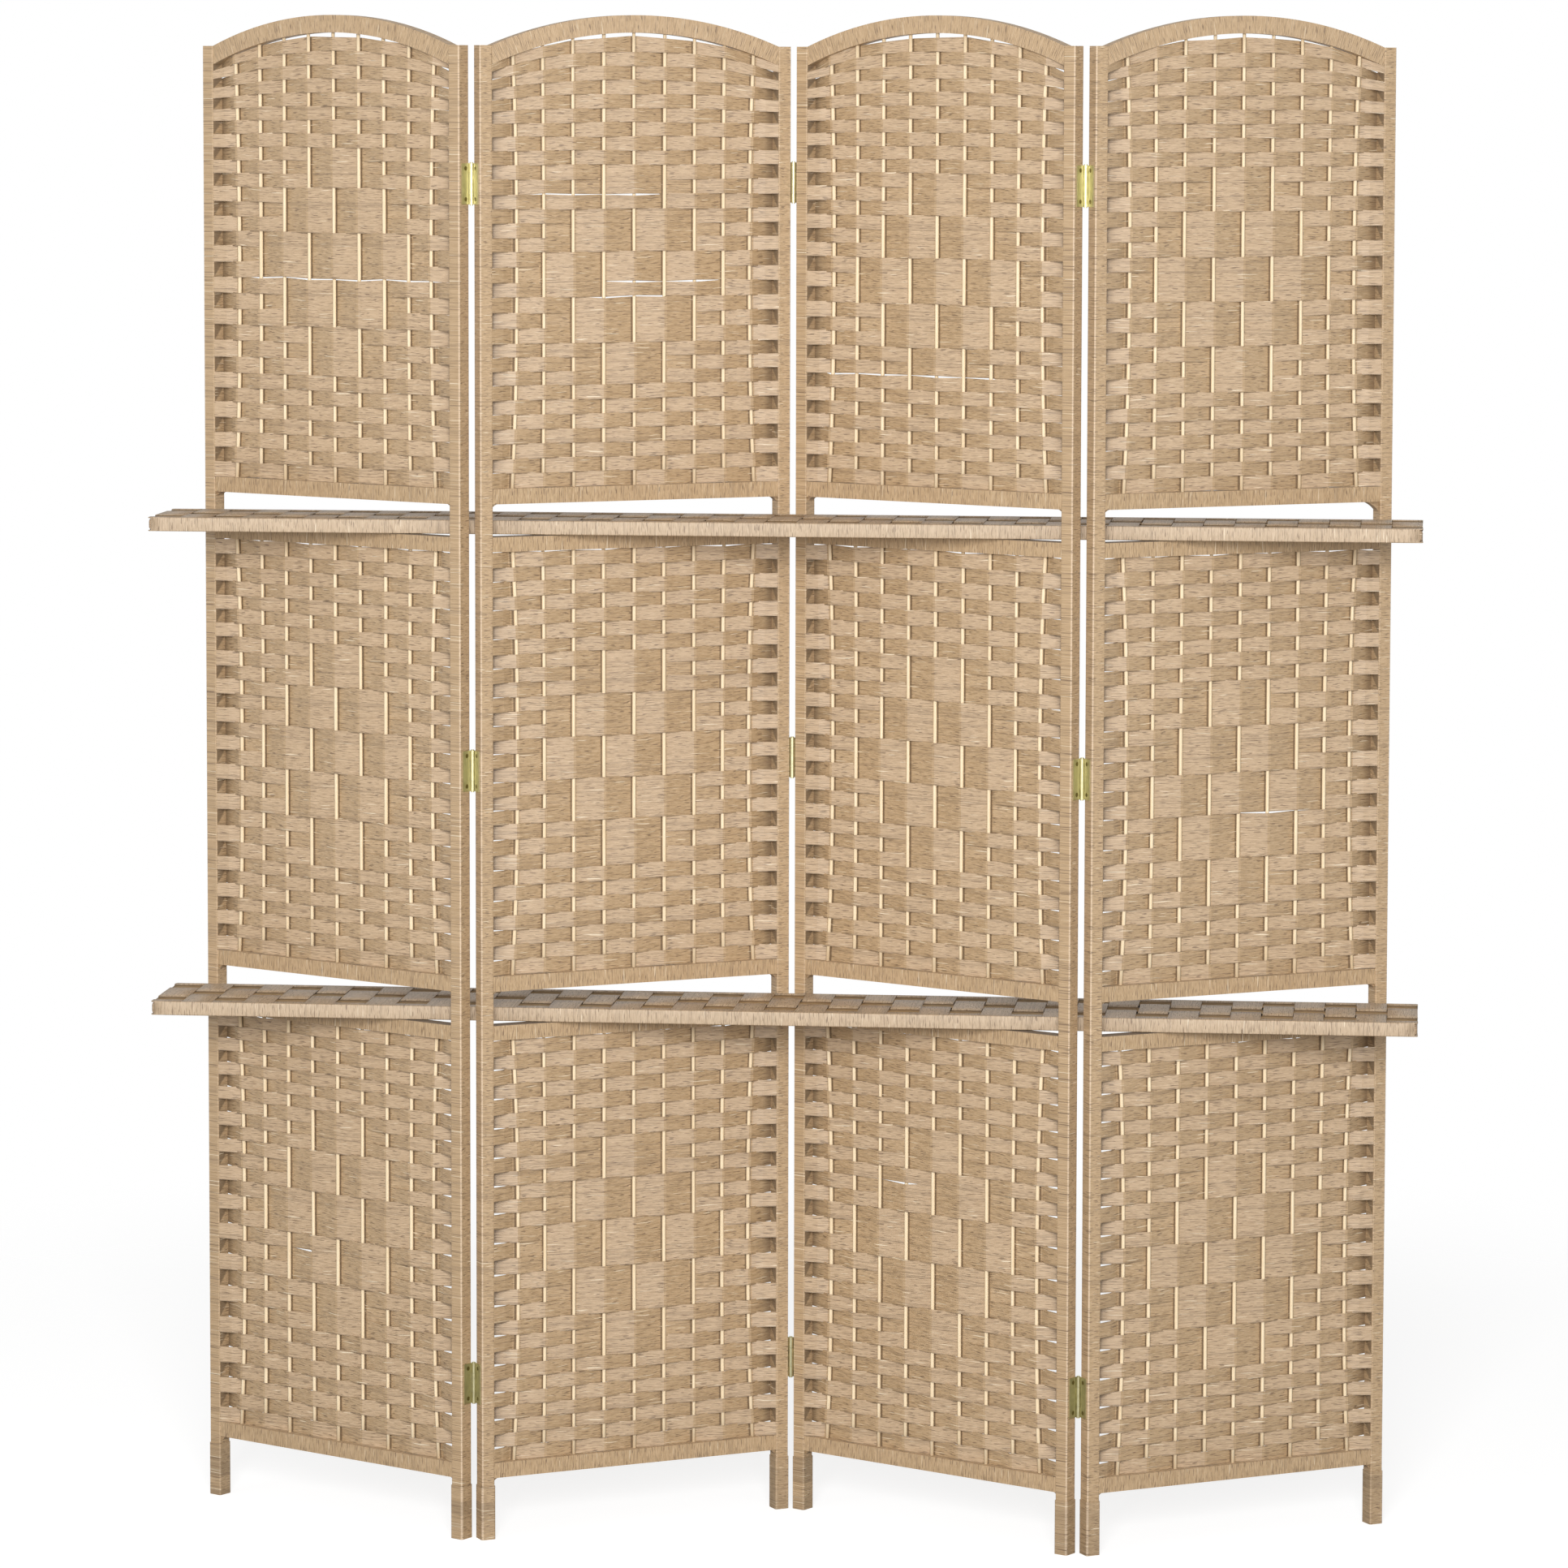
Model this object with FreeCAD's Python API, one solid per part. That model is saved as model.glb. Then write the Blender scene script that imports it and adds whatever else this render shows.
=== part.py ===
import FreeCAD, Part
import math
import os
from FreeCAD import Placement, Rotation, Vector

# Folding screen with shelves: four arched panels of woven paper fibre stand in a zigzag,
# and two long shelves lie through slots in all four of them.
# X runs along the shelves, Y goes to the back, Z is up, in millimetres.
# The origin is on the floor, below the middle of the whole screen.

# One panel, in its own frame: u across it, v through it from the front face, z up.
panel_width = 400.0
stile_height = 1764.0
stile_width = 16.0
stile_thickness = 18.0
stile_edge_radius = 1.5

# The wrapped feet are a little fuller than the stiles.
foot_height = 64.0
foot_swell = 0.8
foot_edge_radius = 2.0

# The bow over the top, between the stiles.
arch_rise = 36.0
arch_depth = 20.5

# Rails and the fields between them, from the floor up.
rail_height = 18.0
rail_thickness = 16.0
leg_height = 73.0
lower_mat_height = 505.0
lower_slot_height = 40.0
middle_mat_height = 501.0
upper_slot_height = 38.0

# Woven mats, with a groove for each upright reed.
mat_thickness = 6.0
reeds_per_mat = 9
reed_edge_gap = 28.0
reed_radius = 2.0
reed_clearance = 0.1

# How the panels stand: each one turned this far from the line of the shelves.
stand_angle = 31.0
fold_gap = 5.5
pin_offset = 1.2

# Butt hinges, three to a fold.
lowest_hinge_height = 186.0
middle_hinge_height = 915.0
top_hinge_drop = 161.0
hinge_height = 48.0
leaf_width = 14.0
leaf_thickness = 1.2
middle_knuckle_height = 23.0
knuckle_clearance = 0.2
pin_radius = 1.3
pin_clearance = 0.05
pin_head_radius = 2.0
pin_head_height = 0.8

# Countersunk screws, two to a leaf.
screw_spacing = 36.0
screw_head_radius = 2.6
screw_head_height = 1.1
screw_shank_radius = 1.3
screw_length = 12.0
screw_clearance = 0.05
recess_length = 3.0
recess_width = 0.5
recess_depth = 0.6

# The two shelves lie on the lower rail of their slots, in front of the far stiles.
shelf_length = 1500.0
shelf_depth = 155.0
shelf_thickness = 17.0
shelf_edge_radius = 3.0
shelf_seat_clearance = 0.3
shelf_back_clearance = 0.5

# Cutting tools run past the faces that they cut by this much.
overrun = 5.0

# Heights worked out from the rails and fields.
lower_mat_bottom = leg_height + rail_height
lower_slot_rail_bottom = lower_mat_bottom + lower_mat_height
lower_slot_bottom = lower_slot_rail_bottom + rail_height
lower_slot_top = lower_slot_bottom + lower_slot_height
middle_mat_bottom = lower_slot_top + rail_height
upper_slot_rail_bottom = middle_mat_bottom + middle_mat_height
upper_slot_bottom = upper_slot_rail_bottom + rail_height
upper_slot_top = upper_slot_bottom + upper_slot_height
upper_mat_bottom = upper_slot_top + rail_height
hinge_heights = [lowest_hinge_height, middle_hinge_height, stile_height - top_hinge_drop]

# The field between the stiles, and where the pieces in it start through the thickness.
field_width = panel_width - 2 * stile_width
rail_front = (stile_thickness - rail_thickness) / 2
mat_front = (stile_thickness - mat_thickness) / 2
reed_pitch = (panel_width - 2 * stile_width - 2 * reed_edge_gap) / (reeds_per_mat - 1)

# The bow is an arc over the field, and its underside has the same centre.
half_field = field_width / 2
arch_radius = (half_field ** 2 + arch_rise ** 2) / (2 * arch_rise)
arch_centre_z = stile_height + arch_rise - arch_radius
arch_inner_radius = arch_radius - arch_depth
arch_inner_end_z = arch_centre_z + math.sqrt(arch_inner_radius ** 2 - half_field ** 2)

# The barrels fill the gap at a fold, so the pin's axis is half the gap from each end face.
pin_reach = fold_gap / 2
barrel_radius = pin_reach
sine = math.sin(math.radians(stand_angle))
cosine = math.cos(math.radians(stand_angle))


def turned(angle, u, v):
    """A panel's u and v as X and Y, for a panel turned by this angle."""
    return Rotation(Vector(0, 0, 1), angle).multVec(Vector(u, v, 0))


# Fold 1 and fold 3 come forward, fold 2 and the outer stiles stand back. The middle of the depth
# lies halfway between the nearest and the farthest corner of the feet.
near_reach = (stile_thickness + pin_offset + foot_swell) * cosine - (pin_reach - foot_swell) * sine
far_reach = (panel_width + pin_reach + foot_swell) * sine - (pin_offset - foot_swell) * cosine
fold_step = turned(stand_angle, panel_width + fold_gap, -stile_thickness - 2 * pin_offset)
near_fold_y = (near_reach - far_reach) / 2
folds = {
    1: Vector(-fold_step.x, near_fold_y, 0),
    2: Vector(0, near_fold_y + fold_step.y, 0),
    3: Vector(fold_step.x, near_fold_y, 0),
}

# The pin's place in a panel's own frame, by the end it is at and the face it stands out of.
end_u = {"left": -pin_reach, "right": panel_width + pin_reach}
face_v = {"front": -pin_offset, "back": stile_thickness + pin_offset}

# Each panel: its turn, and the fold, end and face that place it.
panels = {
    1: (-stand_angle, 1, "right", "back"),
    2: (stand_angle, 1, "left", "back"),
    3: (-stand_angle, 2, "left", "front"),
    4: (stand_angle, 3, "left", "back"),
}

# Each fold: its face, and for the panel on either side, the panel's end and kind of leaf.
hinged_folds = {
    1: ("back", {"left": (1, "right", "outer"), "right": (2, "left", "middle")}),
    2: ("front", {"left": (2, "right", "outer"), "right": (3, "left", "middle")}),
    3: ("back", {"left": (3, "right", "middle"), "right": (4, "left", "outer")}),
}


def panel_placement(number):
    angle, fold, end, face = panels[number]
    corner = folds[fold] - turned(angle, end_u[end], face_v[face])
    return Placement(corner, Rotation(Vector(0, 0, 1), angle))


def save(name, solids, placement=Placement()):
    """Writes one node, as one or more solids put in place."""
    group = Part.makeCompound(solids) if len(solids) > 1 else solids[0]
    group.Placement = placement.multiply(group.Placement)
    group.exportStep(f"parts/{name}.step")
    print(name, len(solids), "solids")


def block(u0, u1, v0, v1, z0, z1):
    return Part.makeBox(u1 - u0, v1 - v0, z1 - z0, Vector(u0, v0, z0))


def upright_edges(solid):
    """A block's edges that run from its bottom to its top."""
    return [edge for edge in solid.Edges if edge.Vertexes[0].Z != edge.Vertexes[-1].Z]


# Hinge pieces are laid out from a stile's end face: p goes out of that face, and q goes out of
# the face that the barrel stands at.
def end_point(end, face, p, q, z):
    u = panel_width + p if end == "right" else -p
    v = stile_thickness + q if face == "back" else -q
    return Vector(u, v, z)


def end_block(end, face, p0, p1, q0, q1, z0, z1):
    first = end_point(end, face, p0, q0, z0)
    last = end_point(end, face, p1, q1, z1)
    return block(min(first.x, last.x), max(first.x, last.x),
                 min(first.y, last.y), max(first.y, last.y), z0, z1)


def inward(end):
    return Vector(-1, 0, 0) if end == "right" else Vector(1, 0, 0)


def screw_shape(end, face, z, clearance):
    """A countersunk screw driven into the end face, or with a clearance, its hole."""
    q = -leaf_width / 2
    head = end_point(end, face, leaf_thickness, q, z)
    cone = Part.makeCone(screw_head_radius + clearance, screw_shank_radius + clearance,
                         screw_head_height, head, inward(end))
    shank = Part.makeCylinder(screw_shank_radius + clearance, screw_length + clearance,
                              head, inward(end))
    return cone.fuse(shank).removeSplitter()


def screw(end, face, z):
    """A screw with its cross recess."""
    solid = screw_shape(end, face, z, 0)
    q = -leaf_width / 2
    floor_p = leaf_thickness - recess_depth
    for across, up in ((recess_length, recess_width), (recess_width, recess_length)):
        solid = solid.cut(end_block(end, face, floor_p, leaf_thickness + overrun,
                                    q - across / 2, q + across / 2, z - up / 2, z + up / 2))
    return solid


def screw_heights():
    return [centre + side * screw_spacing / 2 for centre in hinge_heights for side in (-1, 1)]


def knuckle_spans(kind, centre):
    """Where a leaf's knuckles start and end, for the outer pair or the middle one."""
    half = middle_knuckle_height / 2
    low, high = centre - hinge_height / 2, centre + hinge_height / 2
    if kind == "middle":
        return [(centre - half, centre + half)]
    return [(low, centre - half - knuckle_clearance), (centre + half + knuckle_clearance, high)]


def leaf(end, face, kind, centre):
    """A hinge leaf: a plate on the end face, with its knuckles round the pin."""
    low, high = centre - hinge_height / 2, centre + hinge_height / 2
    solid = end_block(end, face, 0, leaf_thickness, -leaf_width, pin_offset, low, high)
    other = "outer" if kind == "middle" else "middle"
    for start, stop in knuckle_spans(other, centre):
        axis = end_point(end, face, pin_reach, pin_offset, start - knuckle_clearance)
        solid = solid.cut(Part.makeCylinder(barrel_radius + knuckle_clearance,
                                            stop - start + 2 * knuckle_clearance, axis))
    for start, stop in knuckle_spans(kind, centre):
        axis = end_point(end, face, pin_reach, pin_offset, start)
        solid = solid.fuse(Part.makeCylinder(barrel_radius, stop - start, axis))
    bore = end_point(end, face, pin_reach, pin_offset, low - overrun)
    solid = solid.cut(Part.makeCylinder(pin_radius + pin_clearance, hinge_height + 2 * overrun, bore))
    for side in (-1, 1):
        z = centre + side * screw_spacing / 2
        solid = solid.cut(screw_shape(end, face, z, screw_clearance))
    return solid.removeSplitter()


def pin(centre):
    """A hinge pin on the Z axis, with a low head at each end."""
    reach = hinge_height / 2 + knuckle_clearance
    solid = Part.makeCylinder(pin_radius, 2 * reach, Vector(0, 0, centre - reach))
    for bottom in (centre - reach - pin_head_height, centre + reach):
        head = Part.makeCylinder(pin_head_radius, pin_head_height, Vector(0, 0, bottom))
        solid = solid.fuse(head)
    return solid.removeSplitter()


def stile(side, hinge_faces):
    """An upright with its fuller foot, drilled for the hinge screws at its outer face."""
    u0 = 0 if side == "left" else panel_width - stile_width
    u1 = u0 + stile_width
    post = block(u0, u1, 0, stile_thickness, 0, stile_height)
    post = post.makeFillet(stile_edge_radius, upright_edges(post))
    foot = block(u0 - foot_swell, u1 + foot_swell, -foot_swell, stile_thickness + foot_swell,
                 0, foot_height)
    foot = foot.makeFillet(foot_edge_radius, upright_edges(foot))
    solid = post.fuse(foot).removeSplitter()
    for face in hinge_faces:
        for z in screw_heights():
            solid = solid.cut(screw_shape(side, face, z, screw_clearance))
    return solid


def rail(bottom):
    return block(stile_width, panel_width - stile_width,
                 rail_front, rail_front + rail_thickness, bottom, bottom + rail_height)


def arc_edge(radius, end_z):
    """An arc over the field from stile to stile, round the bow's centre."""
    left = Vector(stile_width, 0, end_z)
    middle = Vector(panel_width / 2, 0, arch_centre_z + radius)
    right = Vector(panel_width - stile_width, 0, end_z)
    return Part.Arc(left, middle, right).toShape()


def arch():
    """The bow over the top, between the stiles."""
    outer = arc_edge(arch_radius, stile_height)
    inner = arc_edge(arch_inner_radius, arch_inner_end_z)
    sides = []
    for u in (stile_width, panel_width - stile_width):
        sides.append(Part.makeLine(Vector(u, 0, arch_inner_end_z), Vector(u, 0, stile_height)))
    outline = Part.Wire(Part.__sortEdges__([outer, inner] + sides))
    solid = Part.Face(outline).extrude(Vector(0, rail_thickness, 0))
    solid.translate(Vector(0, rail_front, 0))
    return solid


def under_arch(v0, v1):
    """The field from the top rail up to the bow, between two depths."""
    left, right = stile_width, panel_width - stile_width
    low_left, low_right = Vector(left, 0, upper_mat_bottom), Vector(right, 0, upper_mat_bottom)
    high_left, high_right = Vector(left, 0, arch_inner_end_z), Vector(right, 0, arch_inner_end_z)
    edges = [arc_edge(arch_inner_radius, arch_inner_end_z), Part.makeLine(low_left, low_right),
             Part.makeLine(low_left, high_left), Part.makeLine(low_right, high_right)]
    outline = Part.Wire(Part.__sortEdges__(edges))
    solid = Part.Face(outline).extrude(Vector(0, v1 - v0, 0))
    solid.translate(Vector(0, v0, 0))
    return solid


def field(level, v0, v1):
    """One of the three fields of a panel, between two depths."""
    if level == "upper":
        return under_arch(v0, v1)
    bottom = lower_mat_bottom if level == "lower" else middle_mat_bottom
    height = lower_mat_height if level == "lower" else middle_mat_height
    return block(stile_width, panel_width - stile_width, v0, v1, bottom, bottom + height)


def reed_places():
    return [stile_width + reed_edge_gap + reed_pitch * k for k in range(reeds_per_mat)]


def reeds(level):
    """The upright reeds of one field, from the rail below it to what closes it above."""
    space = field(level, 0, stile_thickness)
    solids = []
    for u in reed_places():
        rod = Part.makeCylinder(reed_radius, stile_height + arch_rise,
                                Vector(u, stile_thickness / 2, 0))
        solids.append(rod.common(space).Solids[0])
    return solids


def mat(level):
    """A woven mat as one plate, with a groove open to the front for each reed."""
    solid = field(level, mat_front, mat_front + mat_thickness)
    wide = reed_radius + reed_clearance
    for u in reed_places():
        middle = Vector(u, stile_thickness / 2, 0)
        groove = Part.makeCylinder(wide, stile_height + arch_rise, middle)
        mouth = block(u - wide, u + wide, mat_front - overrun, stile_thickness / 2,
                      0, stile_height + arch_rise)
        solid = solid.cut(groove.fuse(mouth))
    return solid


def shelf(slot_bottom):
    """A long plank, between the near and the far stiles."""
    far_stile = (panel_width - stile_width + pin_reach) * sine
    far_stile -= (stile_thickness + pin_offset) * cosine
    back = near_fold_y + far_stile - shelf_back_clearance
    bottom = slot_bottom + shelf_seat_clearance
    solid = block(-shelf_length / 2, shelf_length / 2, back - shelf_depth, back,
                  bottom, bottom + shelf_thickness)
    return solid.makeFillet(shelf_edge_radius, solid.Edges)


def hinge_faces_at(number, side):
    """The face that carries the barrels at one end of a panel, if any."""
    return [face for face, leaves in hinged_folds.values()
            for panel, end, kind in leaves.values() if panel == number and end == side]


def build_panel(number):
    place = panel_placement(number)
    name = f"panel_{number}"
    for side in ("left", "right"):
        save(f"{name}_stile_{side}", [stile(side, hinge_faces_at(number, side))], place)
    save(f"{name}_arch", [arch()], place)
    save(f"{name}_bottom_rail", [rail(leg_height)], place)
    save(f"{name}_lower_slot_rails", [rail(lower_slot_rail_bottom), rail(lower_slot_top)], place)
    save(f"{name}_upper_slot_rails", [rail(upper_slot_rail_bottom), rail(upper_slot_top)], place)
    for level in ("lower", "middle", "upper"):
        save(f"{name}_{level}_mat", [mat(level)], place)
    save(f"{name}_reeds", reeds("lower") + reeds("middle") + reeds("upper"), place)


def build_fold(number):
    face, leaves = hinged_folds[number]
    for side, (panel, end, kind) in leaves.items():
        place = panel_placement(panel)
        plates = [leaf(end, face, kind, centre) for centre in hinge_heights]
        save(f"fold_{number}_leaves_{side}", plates, place)
        screws = [screw(end, face, z) for z in screw_heights()]
        save(f"fold_{number}_screws_{side}", screws, place)
    save(f"fold_{number}_pins", [pin(centre) for centre in hinge_heights],
         Placement(folds[number], Rotation()))


os.makedirs("parts", exist_ok=True)
for panel_number in panels:
    build_panel(panel_number)
for fold_number in hinged_folds:
    build_fold(fold_number)
save("upper_shelf", [shelf(upper_slot_bottom)])
save("lower_shelf", [shelf(lower_slot_bottom)])
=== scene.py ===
"""Folding screen with shelves: four arched panels woven in paper fibre, two long woven shelves."""
import math
import random

import bpy
from mathutils import Matrix, Vector


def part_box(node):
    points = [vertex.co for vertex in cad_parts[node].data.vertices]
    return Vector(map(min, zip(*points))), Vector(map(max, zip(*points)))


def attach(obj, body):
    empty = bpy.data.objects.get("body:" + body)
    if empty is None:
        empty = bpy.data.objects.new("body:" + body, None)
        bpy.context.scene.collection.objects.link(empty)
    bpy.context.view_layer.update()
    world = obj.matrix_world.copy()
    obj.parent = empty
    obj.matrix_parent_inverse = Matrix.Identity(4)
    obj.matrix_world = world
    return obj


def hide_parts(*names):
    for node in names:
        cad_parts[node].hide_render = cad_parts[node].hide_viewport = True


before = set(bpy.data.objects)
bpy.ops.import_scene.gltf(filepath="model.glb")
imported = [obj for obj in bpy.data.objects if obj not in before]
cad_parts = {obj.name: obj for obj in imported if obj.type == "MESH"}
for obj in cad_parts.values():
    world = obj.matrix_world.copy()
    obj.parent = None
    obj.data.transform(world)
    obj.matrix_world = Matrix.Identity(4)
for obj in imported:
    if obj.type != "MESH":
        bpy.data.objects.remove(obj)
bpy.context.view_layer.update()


# The camera looks at the screen from the front, a little from the right and from above.
# A long lens keeps the uprights upright; the small shift only frames the feet.
lens = bpy.data.cameras.new("camera")
lens.sensor_width = 36
lens.lens = 141.52
lens.shift_y = -0.115
camera = bpy.data.objects.new("camera", lens)
aim = (Matrix.Rotation(math.radians(5.822), 4, "Z") @ Matrix.Rotation(math.radians(85.235), 4, "X")
       @ Matrix.Rotation(math.radians(0.123), 4, "Z"))
camera.matrix_world = Matrix.Translation((0.7358, -7.2212, 1.7129)) @ aim
bpy.context.scene.collection.objects.link(camera)
bpy.context.scene.camera = camera
bpy.context.scene.view_settings.view_transform = "Standard"


# Studio: a white floor that takes the screen's shadow, a white surround and two broad soft lamps.
# To the camera and in the metal the surround is plain white; on the object it is a mild fill.
class Wire:
    """One value in a material, with sums written as in Python."""

    def __init__(self, tree, socket=None):
        self.tree, self.socket = tree, socket

    def node(self, kind, sockets, out=0, **settings):
        """A new node's outgoing value. Sockets are set, or wired to where another value is."""
        made = self.tree.nodes.new("ShaderNode" + kind)
        for name, value in settings.items():
            setattr(made, name, value)
        for name, value in sockets.items():
            if isinstance(value, Wire):
                self.tree.links.new(value.socket, made.inputs[name])
            else:
                made.inputs[name].default_value = value
        return Wire(self.tree, made.outputs[out])

    def math(self, operation, *others):
        return self.node("Math", dict(enumerate((self, *others))), operation=operation)

    def mix(self, first, second):
        """The colour first where this is 0, and second where it is 1."""
        first, second = ((*c, 1) if isinstance(c, tuple) else c for c in (first, second))
        return self.node("Mix", {0: self, 6: first, 7: second}, out=2, data_type="RGBA")

    def between(self, low, high):
        """0 up to low, 1 from high on, and smooth between."""
        return self.node("MapRange", {0: self, 1: low, 2: high}, interpolation_type="SMOOTHSTEP")

    def part(self, axis):
        return self.node("SeparateXYZ", {0: self}, out=axis)

    def stretched(self, *scales):
        """A place with its three axes counted in other units."""
        return self.node("VectorMath", {0: self, 1: scales}, operation="MULTIPLY")

    def __add__(self, other):
        return self.math("ADD", other)

    def __sub__(self, other):
        return self.math("SUBTRACT", other)

    def __rsub__(self, other):
        return self.node("Math", {0: other, 1: self}, operation="SUBTRACT")

    def __mul__(self, other):
        return self.math("MULTIPLY", other)

    __radd__, __rmul__ = __add__, __mul__


def blank(name):
    """A new material, the wire that its nodes start from, and a call that ends it."""
    finish = bpy.data.materials.new(name)
    finish.use_nodes = True
    finish.node_tree.nodes.clear()
    last = finish.node_tree.nodes.new("ShaderNodeOutputMaterial")
    start = Wire(finish.node_tree)
    return finish, start, lambda wire: start.tree.links.new(wire.socket, last.inputs["Surface"])


def seen_plainly(start):
    """1 for rays from the camera or off metal, 0 for light that falls on things."""
    kinds = [start.node("LightPath", {}, out=f"Is {kind} Ray")
             for kind in ("Camera", "Glossy", "Transmission")]
    return kinds[0].math("MAXIMUM", kinds[1]).math("MAXIMUM", kinds[2])


world = bpy.data.worlds.new("surround")
world.use_nodes = True
world.node_tree.nodes.clear()
start = Wire(world.node_tree)
mild = 0.34
glow = start.node("Background", {"Color": (1, 1, 1, 1),
                                 "Strength": seen_plainly(start) * (1 - mild) + mild})
last = world.node_tree.nodes.new("ShaderNodeOutputWorld")
world.node_tree.links.new(glow.socket, last.inputs["Surface"])
bpy.context.scene.world = world

bpy.ops.object.select_all(action="DESELECT")
bpy.ops.mesh.primitive_plane_add(size=12)
floor = bpy.context.object
floor.name = "studio_floor"
# Part of the floor's white is its own light, and further out it fades into the surround.
finish, start, end = blank("studio_white")
spot = start.node("TexCoord", {}, out="Object")
far = start.node("VectorMath", {0: spot}, out="Value", operation="LENGTH").between(1.3, 2.6)
lit = start.node("BsdfDiffuse", {"Color": (0.45, 0.45, 0.45, 1)})
own = start.node("Emission", {"Strength": start.node("LightPath", {}, out="Is Camera Ray") * 0.75})
end(start.node("MixShader", {0: far, 1: start.node("AddShader", {0: lit, 1: own}),
                             2: start.node("BsdfTransparent", {})}))
floor.data.materials.append(finish)

for name, place, size, power in (("lamp_front", (0.45, -6.6, 2.4), 2.2, 424),
                                 ("lamp_left", (-4.2, -3.6, 2.4), 2.4, 20)):
    light = bpy.data.lights.new(name, "AREA")
    light.shape, light.size, light.energy = "SQUARE", size, power
    lamp = bpy.data.objects.new(name, light)
    toward = (Vector((0, 0, 0.9)) - Vector(place)).to_track_quat("-Z", "Y")
    lamp.matrix_world = Matrix.Translation(place) @ toward.to_matrix().to_4x4()
    bpy.context.scene.collection.objects.link(lamp)


# The stiles: wooden posts wound from foot to top with natural paper fibre, about ten turns to
# 17 mm, so the strands lie level all round. The feet have a last layer laid on as flat tape.
strand_width = 0.0017
paper_light, paper_dark = (0.62, 0.44, 0.26), (0.335, 0.208, 0.091)
near_black = (0.05, 0.028, 0.012)


def paper(name, lay, light, dark, tints=(), gloss=0.9, rough=0.60):
    """Paper fibre. From the start wire, lay gives how far along its strand a point is, in metres,
    and its place across the strands, counted in strands. Tints are pairs: a call that gives how
    much of a tint a point has, and the tint."""
    finish, start, end = blank(name)
    along, across = lay(start)

    def drawn_out(length, width, offset, detail, roughness=0.5):
        """Noise that is drawn out along the strands, as they lie so far."""
        spot = start.node("CombineXYZ", {0: along * length, 1: across * width, 2: offset})
        return start.node("TexNoise", {"Vector": spot, "Scale": 1.0, "Detail": detail,
                                       "Roughness": roughness})

    # The strands wander, each is round, and each has its own tone.
    across = across + drawn_out(22.0, 0.11, 0.0, 1.0) * 1.5
    strand = across.math("FLOOR")
    crown = (across - strand) * 2.0 - 1.0
    crown = 1.0 - crown.math("ABSOLUTE").math("POWER", 2.2)
    own = start.node("TexWhiteNoise", {"W": strand}, noise_dimensions="1D")
    fibre = drawn_out(120.0, 1.9, 0.0, 3.0, 0.65)
    streak = drawn_out(75.0, 0.9, 2.0, 2.0)
    patch = drawn_out(9.0, 0.12, 4.0, 2.0)
    tone = fibre * 1.5 + streak * 1.0 + own * 0.15 + patch * 0.3 - 0.975
    colour = tone.mix(dark, light)
    for amount, tint in tints:
        colour = amount(start).mix(colour, tint)
    # Short dark flecks of bark, a dark seam beside some strands, and now and then a pale thread.
    fleck = drawn_out(72.0, 1.5, 9.0, 1.0).between(0.60, 0.65)
    seam = (own + streak * 0.4).between(1.06, 1.12)
    colour = (fleck * 0.86).math("MAXIMUM", seam * 0.35).mix(colour, (0.17, 0.10, 0.045))
    pale = drawn_out(26.0, 1.1, 17.0, 1.0).between(0.69, 0.73)
    colour = (pale * 0.7).mix(colour, (0.88, 0.76, 0.56))
    # Painted shade in the grooves between the round strands.
    crease_shade = (1.0 - crown).between(0.55, 1.0)
    colour = (crease_shade * 0.25).mix(colour, tuple(0.45 * c for c in dark))
    bump = start.node("Bump", {"Height": crown * 0.7 + fibre * 0.5, "Strength": 0.55,
                               "Distance": 0.0004})
    end(start.node("BsdfPrincipled", {"Base Color": colour, "Roughness": rough, "IOR": 1.6,
                                      "Specular IOR Level": gloss, "Normal": bump}))
    return finish


def wound_level(start):
    """Strands level all round: along them x and y both count, so that no side is plain."""
    place = start.node("TexCoord", {}, out="Object")
    x, y, z = (place.part(axis) for axis in "XYZ")
    return x + y * 1.3, z * (1 / strand_width)


panel_width = 0.4
panel_middle = panel_width / 2
# Where each panel stands: its turn in degrees, and its front left corner.
standing = {1: (-31, -0.713202, 0.095293), 2: (31, -0.345842, -0.110722),
            3: (-31, 0.002975, 0.095293), 4: (31, 0.370334, -0.110722)}


def on_panel(start, number):
    """How far across, back and up its panel a point is."""
    place = start.node("TexCoord", {}, out="Object")
    angle, left, front = standing[number]
    cosine, sine = math.cos(math.radians(angle)), math.sin(math.radians(angle))
    x, y, z = place.part("X") - left, place.part("Y") - front, place.part("Z")
    return x * cosine + y * sine, y * cosine - x * sine, z


def give_finish(name, finish):
    """Give a body of the frame, whose shape stays, its finish."""
    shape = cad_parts[name]
    shape.data.materials.clear()
    shape.data.materials.append(finish)


# How high up the tape goes, and its turns to a metre.
tape_top, tape_turns = 0.065, 60.0


def foot_tape(start):
    """Turns of tape 17 mm high round the foot, some of them darker."""
    place = start.node("TexCoord", {}, out="Object")
    turn = (place.part("Z") * tape_turns + place.part("X") * 2.0).math("FLOOR")
    tone = start.node("TexWhiteNoise", {"W": turn + (place.part("X") * 5.0).math("FLOOR") * 7.0},
                      noise_dimensions="1D")
    return (1.0 - place.part("Z").between(tape_top - 0.001, tape_top + 0.001)) * tone * 0.35


for number in standing:
    def painted_corner_highlight(start):
        """A painted highlight along the post's outer front corner, as light caught by its rounded
        edge.
        """
        across, back, up = on_panel(start, number)
        from_side = (panel_middle - (across - panel_middle).math("ABSOLUTE")).math("ABSOLUTE")
        from_corner = from_side.math("MAXIMUM", back.math("ABSOLUTE"))
        return (1.0 - from_corner.between(0.0008, 0.0022)) * 0.5

    stile_paper = paper(f"stile_paper_{number}", wound_level, paper_light, paper_dark,
                        ((painted_corner_highlight, (0.78, 0.60, 0.42)), (foot_tape, near_black)))
    for side in ("left", "right"):
        give_finish(f"panel_{number}_stile_{side}", stile_paper)


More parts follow.
